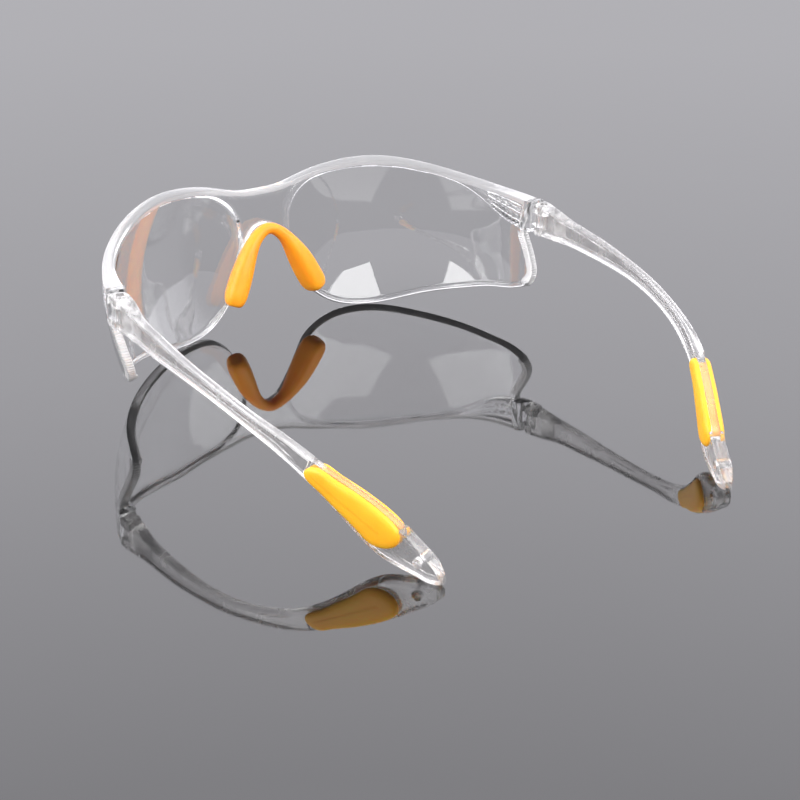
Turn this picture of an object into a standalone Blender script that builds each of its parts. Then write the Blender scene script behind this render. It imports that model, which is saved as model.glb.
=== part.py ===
"""Clear wraparound safety glasses: a one-piece front, a nose pad, two folding temples, two hinge pins, two grips."""

import math

import bmesh
import bpy
import numpy as np
from mathutils import Matrix, Vector

MM = 0.001
FRAME_SHIFT_Y = 48.56  # puts the middle of the bounding box on the origin

# Front surface: a superellipse in plan that widens, moves forward and bulges as it rises to FRONT_RISE.
FRONT_RISE = 45.0
PLAN_POWER = 2.148
HALF_WIDTH = (63.3, 7.6)
FORWARD = (27.5, 6.9)
DEPTH = (47.1, 10.8)
BULGE_FORWARD = 0.8
BULGE_SIDE = 2.3
LENS_DOME = 3.8  # each lens domes out further between its lower line and the brow
WALL = 2.2
OUTER_SHARE = 0.2  # mm of the wall that lies outside the middle surface

# Outlines of the front as (plan angle in degrees, height in mm), from the middle outwards.
BROW_LINE = ((0, 40.2), (4.7, 40.6), (9.5, 42.3), (19.0, 45.1), (29.1, 46.1), (39.5, 44.8), (49.5, 42.6),
             (58.4, 40.7), (66.4, 39.4), (73.7, 38.6), (80.0, 38.1))
LOWER_LINE = ((0, 29.6), (2.6, 28.3), (4.7, 24.5), (6.5, 19.5), (8.2, 14.0), (9.9, 9.0), (13.5, 4.6),
              (18.3, 1.5), (24.6, -0.25), (33.3, 0.4), (43.1, 2.4), (52.6, 4.4), (62.0, 6.3), (71.2, 8.2),
              (80.4, 9.9), (84.8, 11.6))
REAR_LINE = ((84.8, 11.6), (86.2, 14.5), (84.1, 19.8), (80.6, 24.6), (78.6, 28.0), (78.5, 31.0), (79.2, 34.5),
             (80.0, 38.1))
BROW_EXTRA = 1.3
BROW_BAND = 2.6
BRIDGE_EXTRA = 1.6
BRIDGE_HALF_ANGLE = 6.0
REST_Z = 0.0  # a flat under each lens and each temple tip rests here

# End-piece: a wedge on the inside of the front that grows from the brow to the hinge seam, as
# (y, how far it stands in from the wall, how far it stands out, bottom z).
ENDPIECE = ((-14.1, 2.3, 0.4, 28.0), (-11.0, 2.2, 0.4, 28.6), (-7.5, 2.0, 0.3, 30.0), (-4.0, 1.7, 0.2, 31.8),
            (0.0, 1.4, 0.0, 33.8), (4.0, 1.0, -0.3, 36.0), (8.0, 0.5, -0.6, 38.2))

# Hinge: a vertical pin through a middle knuckle on the front and a forked temple end.
HINGE_X = 69.0
HINGE_Y = -17.0
SEAM_Y = -14.1
KNUCKLE_RADIUS = 2.5
WEB_IN = 1.9
WEB_OUT = 1.3
KNUCKLE_Z = (31.2, 34.9)
FORK_Z = (28.4, 37.8)
PIN_RADIUS = 0.9
GAP = 0.3

# Temple: (y, middle x, bottom z, top z, thickness) in mm.
TEMPLE = ((-17.0, 69.0, 28.4, 37.8, 5.0), (-21.0, 69.1, 28.4, 37.3, 4.7), (-28.0, 69.6, 28.5, 36.1, 3.5),
          (-40.0, 69.9, 28.4, 34.9, 3.0),
          (-55.0, 69.3, 28.1, 33.2, 2.7), (-70.0, 67.6, 26.6, 31.1, 2.5), (-82.0, 65.2, 24.0, 28.6, 2.6),
          (-92.0, 62.2, 20.5, 26.1, 2.9), (-100.0, 59.1, 16.0, 22.9, 3.2), (-108.0, 54.8, 9.2, 19.3, 3.5),
          (-114.0, 51.3, 3.8, 16.2, 3.7), (-120.0, 48.1, 1.3, 12.1, 3.8), (-126.0, 45.5, 0.1, 7.6, 3.8),
          (-129.5, 44.2, -0.3, 4.6, 3.3), (-131.0, 43.7, 0.5, 2.9, 1.8))
CHANNEL_DEPTH = 0.4
EDGE_ROUND = 0.8
LOWER_RIM = 1.7
UPPER_RIM = 1.0

# Grip: outline in the side view of the temple as (y, z), and how far it stands out of each face.
GRIP = ((-98.6, 19.6), (-100.6, 21.0), (-104.0, 19.9), (-109.0, 17.6), (-114.0, 14.9), (-118.2, 12.0),
        (-119.8, 9.6), (-119.0, 7.4), (-116.6, 6.2), (-114.2, 6.3), (-111.0, 8.9), (-106.0, 13.3),
        (-102.0, 16.7), (-99.6, 18.3))
GRIP_PROUD = 0.9
LANYARD_HOLE = (-125.0, 4.3, 1.3)

# Nose pad: (x, y, z) of the middle line, its width along the bearing face and its thickness.
NOSE = ((0.0, 27.2, 29.3, 3.9, 3.3), (3.2, 27.0, 28.0, 4.1, 3.6), (6.1, 26.4, 25.0, 5.3, 4.3),
        (8.4, 25.7, 21.2, 6.7, 5.4), (10.4, 25.0, 17.2, 7.5, 6.3), (12.3, 24.3, 13.2, 7.7, 6.6),
        (13.5, 23.8, 10.7, 7.4, 6.3), (14.2, 23.6, 9.1, 5.9, 5.0), (14.5, 23.5, 8.4, 3.2, 2.8))


def clear_scene():
    for item in list(bpy.data.objects):
        bpy.data.objects.remove(item)


def material(name, colour, roughness, alpha=1.0, transmission=0.0):
    made = bpy.data.materials.new(name)
    made.use_nodes = True
    shader = made.node_tree.nodes["Principled BSDF"]
    shader.inputs["Base Color"].default_value = (*colour, 1.0)
    shader.inputs["Roughness"].default_value = roughness
    shader.inputs["Metallic"].default_value = 0.0
    shader.inputs["Alpha"].default_value = alpha
    shader.inputs["Transmission Weight"].default_value = transmission
    return made


def mesh_object(name, points, faces, surface):
    """A closed mesh object from points in mm, welded and with its faces turned outwards."""
    shape = bmesh.new()
    corners = [shape.verts.new((x * MM, (y + FRAME_SHIFT_Y) * MM, z * MM)) for x, y, z in points]
    for face in faces:
        shape.faces.new([corners[i] for i in face])
    bmesh.ops.remove_doubles(shape, verts=shape.verts, dist=1e-6)
    bmesh.ops.recalc_face_normals(shape, faces=shape.faces)
    mesh = bpy.data.meshes.new(name)
    shape.to_mesh(mesh)
    shape.free()
    mesh.materials.append(surface)
    made = bpy.data.objects.new(name, mesh)
    bpy.context.scene.collection.objects.link(made)
    for polygon in mesh.polygons:
        polygon.use_smooth = True
    return made


def combine(target, other, operation):
    """Applies a Boolean to the mesh of target and removes the other object."""
    step = target.modifiers.new("step", "BOOLEAN")
    step.operation = operation
    step.solver = "EXACT"
    step.object = other
    graph = bpy.context.evaluated_depsgraph_get()
    result = bpy.data.meshes.new_from_object(target.evaluated_get(graph))
    target.modifiers.clear()
    old = target.data
    target.data = result
    bpy.data.meshes.remove(old)
    bpy.data.objects.remove(other)


def spline(knots, count):
    """Points on a natural cubic spline through the knots, evenly spaced in chord length."""
    knots = np.asarray(knots, float)
    t = np.concatenate([[0.0], np.cumsum(np.linalg.norm(np.diff(knots, axis=0), axis=1))])
    return spline_at(t, knots, np.linspace(0.0, t[-1], count))


def spline_at(t, values, where):
    t = np.asarray(t, float)
    values = np.asarray(values, float)
    h = np.diff(t)
    n = len(t)
    system = np.eye(n)
    right = np.zeros_like(values)
    for i in range(1, n - 1):
        system[i, i - 1:i + 2] = h[i - 1], 2 * (h[i - 1] + h[i]), h[i]
        right[i] = 6 * ((values[i + 1] - values[i]) / h[i] - (values[i] - values[i - 1]) / h[i - 1])
    bend = np.linalg.solve(system, right)
    k = np.clip(np.searchsorted(t, where, side="right") - 1, 0, n - 2)
    a = ((t[k + 1] - where) / h[k])[:, None]
    b = ((where - t[k]) / h[k])[:, None]
    curve = (a ** 3 - a) * bend[k] + (b ** 3 - b) * bend[k + 1]
    return a * values[k] + b * values[k + 1] + curve * (h[k] ** 2 / 6)[:, None]


def ramp(value, low, high):
    part = np.clip((value - low) / (high - low), 0.0, 1.0)
    return part * part * (3.0 - 2.0 * part)


def lens_dome(angle, height):
    turn = np.degrees(np.abs(angle))
    low = 10.5 * ramp(turn, 20.0, 92.0)
    high = 45.8 - 7.5 * ramp(turn, 30.0, 78.0)
    part = (height - low) / (high - low)
    across = ramp(turn, 4.0, 22.0) * (1.0 - ramp(turn, 28.0, 84.0))
    return LENS_DOME * across * 4.0 * part * (1.0 - part)


def front_middle(angle, height):
    """The middle surface of the front at a plan angle in radians and a height in mm."""
    rise = height / FRONT_RISE
    bulge = 4.0 * rise * (1.0 - rise)
    side = np.sign(np.sin(angle)) * np.abs(np.sin(angle)) ** (2.0 / PLAN_POWER)
    ahead = np.sign(np.cos(angle)) * np.abs(np.cos(angle)) ** (2.0 / PLAN_POWER)
    x = (HALF_WIDTH[0] + HALF_WIDTH[1] * rise + BULGE_SIDE * bulge * np.abs(np.sin(angle))) * side
    y = FORWARD[0] + FORWARD[1] * rise + BULGE_FORWARD * bulge * np.cos(angle)
    y = y - (DEPTH[0] + DEPTH[1] * rise) * (1.0 - ahead)
    dome = lens_dome(angle, height) / np.hypot(0.78 * np.sin(angle), np.cos(angle))
    return np.stack([x + dome * 0.78 * np.sin(angle), y + dome * np.cos(angle), height + 0.0 * angle], axis=-1)


def front_normal(angle, height):
    step = 1e-3
    across = front_middle(angle + step, height) - front_middle(angle - step, height)
    upward = front_middle(angle, height + step) - front_middle(angle, height - step)
    normal = np.cross(upward, across)
    normal = normal / np.linalg.norm(normal, axis=-1, keepdims=True)
    return normal


def half_line(knots, count):
    """Points on the smooth mirrored line through the knots, from its middle outwards."""
    right = np.asarray(knots, float)
    left = right[:0:-1] * np.array([-1.0, 1.0])
    return spline(np.concatenate([left, right]), 2 * count - 1)[count - 1:]


def front_grid(columns, rows, spare=0.0):
    """Outer and inner point grids of the right half, from the middle plane out to the end-piece."""
    low = half_line(LOWER_LINE, columns)
    high = half_line(BROW_LINE, columns)
    tall = high[:, 1] - low[:, 1]
    band = 1.0 - 1.5 * BROW_BAND / tall
    level = band[:, None] * np.linspace(0.0, 1.0, rows - 2)[None, :]
    level = np.column_stack([level, 1.0 - 0.5 * BROW_BAND / tall, np.ones(columns)])[..., None]
    share = np.linspace(0.0, 1.0, columns)[:, None, None]
    rear = spline(REAR_LINE, 60)
    rear = rear - np.linspace(low[-1], high[-1], 60)
    along = np.linspace(0.0, 1.0, 60)
    bend = np.stack([np.interp(level[..., 0], along, rear[:, 0]), np.interp(level[..., 0], along, rear[:, 1])], -1)
    flat = low[:, None, :] * (1 - level) + high[:, None, :] * level + share * bend
    angle = np.radians(flat[..., 0])
    height = flat[..., 1]
    middle = front_middle(angle, height)
    normal = front_normal(angle, height)
    from_brow = (1.0 - level[..., 0]) * tall[:, None]
    brow = BROW_EXTRA * (1.0 - ramp(from_brow, BROW_BAND * 0.5, BROW_BAND * 1.5))
    bridge = BRIDGE_EXTRA * (1.0 - ramp(flat[..., 0], BRIDGE_HALF_ANGLE * 0.5, BRIDGE_HALF_ANGLE)) \
        * ramp(height, 27.0, 31.0)
    extra = np.maximum(brow, bridge)
    outer = middle + normal * (OUTER_SHARE + spare)
    inner = middle - normal * (WALL - OUTER_SHARE + extra + spare)[..., None]
    outer[0, :, 0] = 0.0
    inner[0, :, 0] = 0.0
    return outer, inner


def angle_at(y, height):
    """The plan angle at which the middle surface reaches a given y, by halving."""
    low = np.zeros_like(height)
    high = np.full_like(height, math.radians(89.0))
    for _ in range(40):
        middle = (low + high) / 2
        ahead = front_middle(middle, height)[..., 1] > y
        low = np.where(ahead, middle, low)
        high = np.where(ahead, high, middle)
    return low


def endpiece_rings():
    """Sections of the right end-piece in the plane of each y."""
    brow = half_line(BROW_LINE, 60)
    brow_points = front_middle(np.radians(brow[:, 0]), brow[:, 1])
    rings = []
    for y, depth, reach, low in ENDPIECE:
        top = float(np.interp(-y, -brow_points[:, 1], brow[:, 1])) + 0.1 + reach / 4
        z = np.linspace(low, top, 5)
        wall = front_middle(angle_at(y, z), z)[:, 0]
        out = wall + OUTER_SHARE + reach
        inside = wall - (WALL - OUTER_SHARE) - depth
        out[[0, -1]] -= 0.4
        inside[[0, -1]] += 0.4
        ring = [(x, y, h) for x, h in zip(out, z)] + [(x, y, h) for x, h in zip(inside[::-1], z[::-1])]
        rings.append(ring)
    return np.array(rings)


def shell_faces(columns, rows, start):
    """Faces of a closed shell of two grids of columns by rows points, outer first."""
    faces = []
    other = start + columns * rows

    def at(base, i, j):
        return base + i * rows + j

    for i in range(columns - 1):
        for j in range(rows - 1):
            faces.append((at(start, i, j), at(start, i + 1, j), at(start, i + 1, j + 1), at(start, i, j + 1)))
            faces.append((at(other, i, j), at(other, i, j + 1), at(other, i + 1, j + 1), at(other, i + 1, j)))
        for j, turn in ((0, 1), (rows - 1, -1)):
            strip = (at(start, i, j), at(other, i, j), at(other, i + 1, j), at(start, i + 1, j))
            faces.append(strip[::turn])
    for j in range(rows - 1):
        for i, turn in ((0, -1), (columns - 1, 1)):
            strip = (at(start, i, j), at(other, i, j), at(other, i, j + 1), at(start, i, j + 1))
            faces.append(strip[::turn])
    return faces


def whole_front(columns, rows, spare=0.0):
    outer, inner = front_grid(columns, rows, spare)
    flip = np.array([-1.0, 1.0, 1.0])
    outer = np.concatenate([(outer * flip)[:0:-1], outer])
    inner = np.concatenate([(inner * flip)[:0:-1], inner])
    count = len(outer)
    points = np.concatenate([outer.reshape(-1, 3), inner.reshape(-1, 3)])
    return points, shell_faces(count, rows, 0)


def loft(sections):
    """Points and faces of a closed skin over equal-sized rings, with flat ends."""
    sections = np.asarray(sections)
    count, around = sections.shape[:2]
    faces = []
    for i in range(count - 1):
        for j in range(around):
            k = (j + 1) % around
            faces.append((i * around + j, i * around + k, (i + 1) * around + k, (i + 1) * around + j))
    faces.append(tuple(range(around)))
    faces.append(tuple(range((count - 1) * around, count * around))[::-1])
    return sections.reshape(-1, 3), faces


def prism(outline, low, high):
    """Points and faces of an upright prism over a plan outline."""
    outline = np.asarray(outline, float)
    rings = [np.column_stack([outline, np.full(len(outline), z)]) for z in (low, high)]
    return loft(rings)


def arc(centre, radius, start, end, count):
    turn = np.radians(np.linspace(start, end, count))
    return [(centre[0] + radius * math.cos(a), centre[1] + radius * math.sin(a)) for a in turn]


def lathe(profile, centre, around):
    """Rings of (radius, z) about an upright axis."""
    turn = np.linspace(0.0, 2.0 * math.pi, around, endpoint=False)
    rings = []
    for radius, z in profile:
        rings.append(np.column_stack([centre[0] + radius * np.cos(turn), centre[1] + radius * np.sin(turn),
                                      np.full(around, z)]))
    return loft(rings)


def mirrored(points, side):
    return np.asarray(points) * np.array([side, 1.0, 1.0])


def temple_table(where):
    """Plan point, normal, bottom, top and thickness of the right temple at the given y values."""
    table = np.asarray(TEMPLE, float)
    rows = spline_at(-table[:, 0], table[:, 1:], -where)
    step = 0.05
    ahead = spline_at(-table[:, 0], table[:, 1:2], -np.clip(where - step, table[-1, 0], table[0, 0]))
    back = spline_at(-table[:, 0], table[:, 1:2], -np.clip(where + step, table[-1, 0], table[0, 0]))
    run = np.column_stack([(ahead - back)[:, 0], np.clip(where - step, table[-1, 0], table[0, 0])
                           - np.clip(where + step, table[-1, 0], table[0, 0])])
    run = run / np.linalg.norm(run, axis=1, keepdims=True)
    outward = np.column_stack([-run[:, 1], run[:, 0]])
    return rows, outward


def temple_section(bottom, top, thick, channel):
    """One side of the section as (distance outwards, z), from the middle of the bottom to the middle of the top."""
    half = thick / 2
    r = min(EDGE_ROUND, 0.45 * thick, 0.45 * (top - bottom))
    low = min(LOWER_RIM, 0.34 * (top - bottom))
    up = min(UPPER_RIM, 0.26 * (top - bottom))
    return [(half - r, bottom), (half - 0.29 * r, bottom + 0.29 * r), (half, bottom + max(r, 0.5 * low)),
            (half, bottom + low), (half - channel, bottom + low + 0.45), (half - channel, top - up - 0.45),
            (half, top - up), (half - 0.29 * r, top - 0.29 * r), (half - r, top)]


def temple_skin(stations):
    rows, outward = temple_table(stations)
    rings = []
    for y, (x, bottom, top, thick), out in zip(stations, rows, outward):
        channel = CHANNEL_DEPTH * float(ramp(-y, 24.0, 34.0) * (1 - ramp(-y, 84.0, 95.0)))
        side = temple_section(bottom, top, thick, channel)
        ring = [(x + out[0] * n, y + out[1] * n, z) for n, z in side]
        ring += [(x - out[0] * n, y - out[1] * n, z) for n, z in reversed(side)]
        rings.append(ring)
    return loft(np.array(rings))


def along_temple(outline, depth):
    """The side-view outline (y, z) laid through the temple at each depth, as a list of rings."""
    outline = np.asarray(outline, float)
    rows, outward = temple_table(outline[:, 0])
    rings = []
    for shift in depth:
        rings.append(np.column_stack([rows[:, 0] + outward[:, 0] * shift, outline[:, 0] + outward[:, 1] * shift,
                                      outline[:, 1]]))
    return rings


def closed_curve(points, count):
    """Points evenly spaced on a smooth closed curve."""
    knots = np.asarray(list(points)[-3:] + list(points) + list(points)[:4], float)
    t = np.concatenate([[0.0], np.cumsum(np.linalg.norm(np.diff(knots, axis=0), axis=1))])
    first = t[3]
    last = t[3 + len(points)]
    return spline_at(t, knots, np.linspace(first, last, count, endpoint=False))


def shrunk(outline, by):
    """A closed outline moved inwards by a distance."""
    outline = np.asarray(outline, float)
    run = np.roll(outline, -1, axis=0) - np.roll(outline, 1, axis=0)
    run = run / np.linalg.norm(run, axis=1, keepdims=True)
    inward = np.column_stack([-run[:, 1], run[:, 0]])
    area = np.sum(outline[:, 0] * np.roll(outline[:, 1], -1) - np.roll(outline[:, 0], -1) * outline[:, 1])
    return outline + inward * by * np.sign(area)


def hinge_origin(piece, side):
    """Puts the origin of a moving piece on its hinge axis."""
    spot = Vector((side * HINGE_X, HINGE_Y + FRAME_SHIFT_Y, sum(FORK_Z) / 2)) * MM
    piece.data.transform(Matrix.Translation(-spot))
    piece.location = spot


def build_front(clear):
    points, faces = whole_front(34, 10)
    front = mesh_object("front_lens", points, faces, clear)
    for side in (1, -1):
        wedge, faces = loft(endpiece_rings())
        combine(front, mesh_object("wedge", mirrored(wedge, side), faces, clear), "UNION")
        centre = (HINGE_X, HINGE_Y)
        outline = arc(centre, KNUCKLE_RADIUS, 180, 360, 13)
        outline += [(HINGE_X + WEB_OUT, HINGE_Y + 1.6), (HINGE_X + WEB_OUT, SEAM_Y + 1.5),
                    (HINGE_X - WEB_IN, SEAM_Y + 1.5), (HINGE_X - WEB_IN, HINGE_Y + 1.2)]
        web, faces = prism(outline, *KNUCKLE_Z)
        combine(front, mesh_object("web", mirrored(web, side), faces, clear), "UNION")
        bore, faces = lathe(((PIN_RADIUS + GAP, 20.0), (PIN_RADIUS + GAP, 45.0)), centre, 16)
        combine(front, mesh_object("bore", mirrored(bore, side), faces, clear), "DIFFERENCE")
    ground, faces = prism(((-90, -150), (90, -150), (90, 60), (-90, 60)), -10.0, REST_Z)
    combine(front, mesh_object("ground", ground, faces, clear), "DIFFERENCE")
    return front


def build_temple(name, side, clear):
    stations = np.concatenate([np.linspace(-17.0, -29.0, 6), np.linspace(-33.0, -90.0, 16),
                               np.linspace(-93.0, -126.0, 16), np.array([-128.0, -129.5, -130.4, -131.0])])
    points, faces = temple_skin(stations)
    temple = mesh_object(name, mirrored(points, side), faces, clear)
    centre = (HINGE_X, HINGE_Y)
    low, high = FORK_Z[0] - 0.05, FORK_Z[1] + 0.05
    r = EDGE_ROUND
    profile = [(KNUCKLE_RADIUS - r, low), (KNUCKLE_RADIUS - 0.29 * r, low + 0.29 * r), (KNUCKLE_RADIUS, low + r),
               (KNUCKLE_RADIUS, high - r), (KNUCKLE_RADIUS - 0.29 * r, high - 0.29 * r),
               (KNUCKLE_RADIUS - r, high)]
    barrel, faces = lathe(profile, centre, 24)
    combine(temple, mesh_object("barrel", mirrored(barrel, side), faces, clear), "UNION")
    slot_radius = KNUCKLE_RADIUS + 2 * GAP
    slot = arc(centre, slot_radius, 180, 360, 13)
    slot += [(HINGE_X + slot_radius, -10.0), (HINGE_X - slot_radius, -10.0)]
    cut, faces = prism(slot, KNUCKLE_Z[0] - GAP, KNUCKLE_Z[1] + GAP)
    combine(temple, mesh_object("slot", mirrored(cut, side), faces, clear), "DIFFERENCE")
    bore, faces = lathe(((PIN_RADIUS + GAP, 20.0), (PIN_RADIUS + GAP, 45.0)), centre, 16)
    combine(temple, mesh_object("bore", mirrored(bore, side), faces, clear), "DIFFERENCE")
    window = shrunk(closed_curve(GRIP, 30), -GAP)
    cut, faces = loft(along_temple(window, (-6.0, 6.0)))
    combine(temple, mesh_object("window", mirrored(cut, side), faces, clear), "DIFFERENCE")
    y, z, radius = LANYARD_HOLE
    hole = [(y + radius * math.cos(a), z + radius * math.sin(a)) for a in np.linspace(0, 2 * math.pi, 14)[:-1]]
    cut, faces = loft(along_temple(hole, (-6.0, 6.0)))
    combine(temple, mesh_object("hole", mirrored(cut, side), faces, clear), "DIFFERENCE")
    ground, faces = prism(((-90, -150), (90, -150), (90, 60), (-90, 60)), -10.0, REST_Z)
    combine(temple, mesh_object("ground", ground, faces, clear), "DIFFERENCE")
    return temple


def build_grip(name, side, soft):
    outline = closed_curve(GRIP, 26)
    rows, _ = temple_table(outline[:, 0])
    reach = rows[:, 3] / 2 + GRIP_PROUD
    rings = []
    for share, inset in ((-1.0, 1.1), (-0.93, 0.45), (-0.78, 0.0), (0.78, 0.0), (0.93, 0.45), (1.0, 1.1)):
        shape = shrunk(outline, inset)
        place, outward = temple_table(shape[:, 0])
        shift = (reach * share)[:, None]
        plan = np.column_stack([place[:, 0], shape[:, 0]]) + outward * shift
        rings.append(np.column_stack([plan, shape[:, 1]]))
    points, faces = loft(rings)
    return mesh_object(name, mirrored(points, side), faces, soft)


def build_pin(name, side, clear):
    low, high = FORK_Z[0] + 0.4, FORK_Z[1] - 0.4
    profile = ((PIN_RADIUS - 0.25, low), (PIN_RADIUS, low + 0.3), (PIN_RADIUS, high - 0.3),
               (PIN_RADIUS - 0.25, high))
    points, faces = lathe(profile, (HINGE_X, HINGE_Y), 16)
    return mesh_object(name, mirrored(points, side), faces, clear)


def nose_rings(count, around):
    right = np.asarray(NOSE, float)
    left = right[:0:-1] * np.array([-1.0, 1.0, 1.0, 1.0, 1.0])
    path = spline(np.concatenate([left, right]), count)
    turn = np.linspace(0.0, 2.0 * math.pi, around, endpoint=False)
    rings = []
    for i, (x, y, z, width, thick) in enumerate(path):
        run = path[min(i + 1, count - 1), :3] - path[max(i - 1, 0), :3]
        run = run / np.linalg.norm(run)
        splay = np.clip(x / 9.0, -1.0, 1.0) * 0.42
        back = np.array([splay, -1.0, 0.0])
        back = back - run * np.dot(back, run)
        back = back / np.linalg.norm(back)
        out = np.cross(run, back)
        ring = [np.array([x, y, z]) + back * width / 2 * math.cos(a) + out * thick / 2 * math.sin(a) for a in turn]
        rings.append(ring)
    return rings


def build_nose_pad(soft):
    points, faces = loft(nose_rings(45, 14))
    pad = mesh_object("nose_pad", points, faces, soft)
    points, faces = whole_front(34, 10, GAP)
    combine(pad, mesh_object("groove", points, faces, soft), "DIFFERENCE")
    return pad


def main():
    clear_scene()
    clear = material("clear_polycarbonate", (0.93, 0.95, 0.95), 0.06, 0.35, 0.9)
    clear_arm = material("clear_temple_plastic", (0.9, 0.92, 0.92), 0.15, 0.45, 0.85)
    soft = material("orange_rubber", (1.0, 0.42, 0.03), 0.35)
    build_front(clear)
    build_nose_pad(soft)
    for name, side in (("right", 1), ("left", -1)):
        hinge_origin(build_temple(name + "_temple", side, clear_arm), side)
        hinge_origin(build_grip(name + "_temple_grip", side, soft), side)
        build_pin(name + "_hinge_pin", side, clear_arm)


main()
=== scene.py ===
"""Looks of the clear safety glasses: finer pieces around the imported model, materials, light and camera."""

import math

import bmesh
import bpy
import numpy as np
from mathutils import Matrix, Vector


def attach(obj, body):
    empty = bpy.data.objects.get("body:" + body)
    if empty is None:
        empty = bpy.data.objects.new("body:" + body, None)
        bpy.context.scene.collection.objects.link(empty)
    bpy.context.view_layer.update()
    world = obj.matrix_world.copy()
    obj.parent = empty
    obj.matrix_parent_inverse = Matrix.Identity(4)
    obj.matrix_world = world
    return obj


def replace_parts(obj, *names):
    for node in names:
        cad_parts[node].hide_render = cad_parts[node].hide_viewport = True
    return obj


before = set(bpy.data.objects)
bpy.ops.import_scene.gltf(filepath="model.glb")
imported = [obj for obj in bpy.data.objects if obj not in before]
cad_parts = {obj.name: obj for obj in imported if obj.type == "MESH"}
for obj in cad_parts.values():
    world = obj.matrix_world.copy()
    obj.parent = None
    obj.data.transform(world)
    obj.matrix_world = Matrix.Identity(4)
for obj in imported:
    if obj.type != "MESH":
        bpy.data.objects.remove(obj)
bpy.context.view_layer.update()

MM = 0.001
SHIFT_Y = 48.56  # the model's own drawing has its origin between the hinges

# Front surface, as in the solid model: a superellipse in plan that widens and bulges as it rises.
FRONT_RISE = 45.0
PLAN_POWER = 2.148
HALF_WIDTH = (63.3, 7.6)
FORWARD = (27.5, 6.9)
DEPTH = (47.1, 10.8)
BULGE_FORWARD = 0.8
BULGE_SIDE = 2.3
LENS_BULGE = 3.8
WALL = 2.0
OUTER_SHARE = 0.2
BROW_LINE = ((0, 40.2), (4.7, 40.6), (9.5, 42.3), (19.0, 45.1), (29.1, 46.1), (39.5, 44.8), (49.5, 42.6),
             (58.4, 40.7), (66.4, 39.4), (73.7, 38.6), (80.0, 38.1))
LOWER_LINE = ((0, 29.6), (2.6, 28.3), (4.7, 24.5), (6.5, 19.5), (8.2, 14.0), (9.9, 9.0), (13.5, 4.6),
              (18.3, 1.5), (24.6, 0.1), (33.3, 0.4), (43.1, 2.4), (52.6, 4.4), (62.0, 6.3), (71.2, 8.2),
              (80.4, 9.9), (84.8, 11.6))
REAR_LINE = ((84.8, 11.6), (86.2, 14.5), (84.1, 19.8), (80.6, 24.6), (78.6, 28.0), (78.5, 31.0), (79.2, 34.5),
             (80.0, 38.1))

# Edge of the thin window, as (plan angle, height), from the notch up, along the brow and down to the rear edge.
WINDOW_EDGE = ((5.9, 18.0), (5.95, 27.0), (6.05, 30.6), (6.5, 33.0), (7.5, 35.6), (9.3, 38.3), (12.0, 40.7),
               (15.6, 42.2), (20.6, 43.4), (26.0, 43.9), (31.4, 43.8), (37.0, 43.2), (42.8, 42.2), (48.7, 41.0),
               (54.9, 39.1), (58.8, 37.3), (63.0, 34.7), (67.5, 31.9), (72.2, 29.8), (77.5, 28.7), (88.0, 28.5))
RIM_STEP = 0.45
BEAD_WIDTH = 1.3
BEAD_HEIGHT = 0.5
EDGE_RADIUS = 0.45
ENDPIECE_DEPTH = ((-14.1, 1.2), (-13.5, 1.8), (-12.7, 2.15), (-11.0, 2.2), (-7.5, 2.0), (-4.0, 1.7), (0.0, 1.4),
                  (4.0, 1.3))
RIB_LEVELS = (0.28, 0.55, 0.80)
POCKET_DEPTH = 1.0
LADDER_PITCH = 0.66

HINGE_X = 69.0
HINGE_Y = -17.0
SEAM_Y = -14.1
KNUCKLE_RADIUS = 2.5
END_BLOCK = ((65.5, -10.2, -12.2), (65.7, -12.4, -12.8), (66.1, -13.7, -13.7), (66.6, -14.1, -14.1),
             (70.9, -14.1, -14.1), (71.25, -13.8, -13.8), (71.1, -12.8, -13.2), (69.6, -10.2, -12.2))
END_BLOCK_Z = (28.5, 38.1, 0.5, 0.3)
WEB_IN = 1.9
WEB_OUT = 1.3
KNUCKLE_Z = (31.2, 34.9)
FORK_Z = (28.4, 37.8)
PIN_RADIUS = 0.9
GAP = 0.25

# Temple: (y, middle x, bottom z, top z, thickness) in mm.
TEMPLE = ((-17.0, 69.0, 28.4, 37.8, 5.0), (-21.0, 69.1, 28.4, 37.3, 4.7), (-28.0, 69.6, 28.5, 36.1, 3.5),
          (-40.0, 69.9, 28.4, 34.9, 3.0),
          (-55.0, 69.3, 28.1, 33.2, 2.7), (-70.0, 67.6, 26.6, 31.1, 2.5), (-82.0, 65.2, 24.0, 28.6, 2.6),
          (-92.0, 62.2, 20.5, 26.1, 2.9), (-100.0, 59.1, 16.0, 22.9, 3.2), (-108.0, 54.8, 9.2, 19.3, 3.5),
          (-114.0, 51.3, 3.8, 16.2, 3.7), (-120.0, 48.1, 1.3, 12.1, 3.8), (-126.0, 45.5, 0.1, 7.6, 3.8),
          (-129.5, 44.2, 0.0, 4.6, 3.3), (-131.0, 43.7, 0.5, 2.9, 1.8))
CHANNEL_DEPTH = 0.55
LOWER_RIM = 1.8
UPPER_RIM = 0.9
GRIP = ((-98.6, 19.6), (-100.6, 21.0), (-104.0, 19.9), (-109.0, 17.6), (-114.0, 14.9), (-118.2, 12.0),
        (-119.8, 9.6), (-119.0, 7.4), (-116.6, 6.2), (-114.2, 6.3), (-111.0, 8.9), (-106.0, 13.3),
        (-102.0, 16.7), (-99.6, 18.3))
GRIP_SPINE = ((-101.0, 19.4), (-115.6, 9.9))
GRIP_WEB = 2.1
GRIP_PROUD = 0.95
LANYARD_HOLE = (-125.0, 4.3, 1.3)

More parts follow.
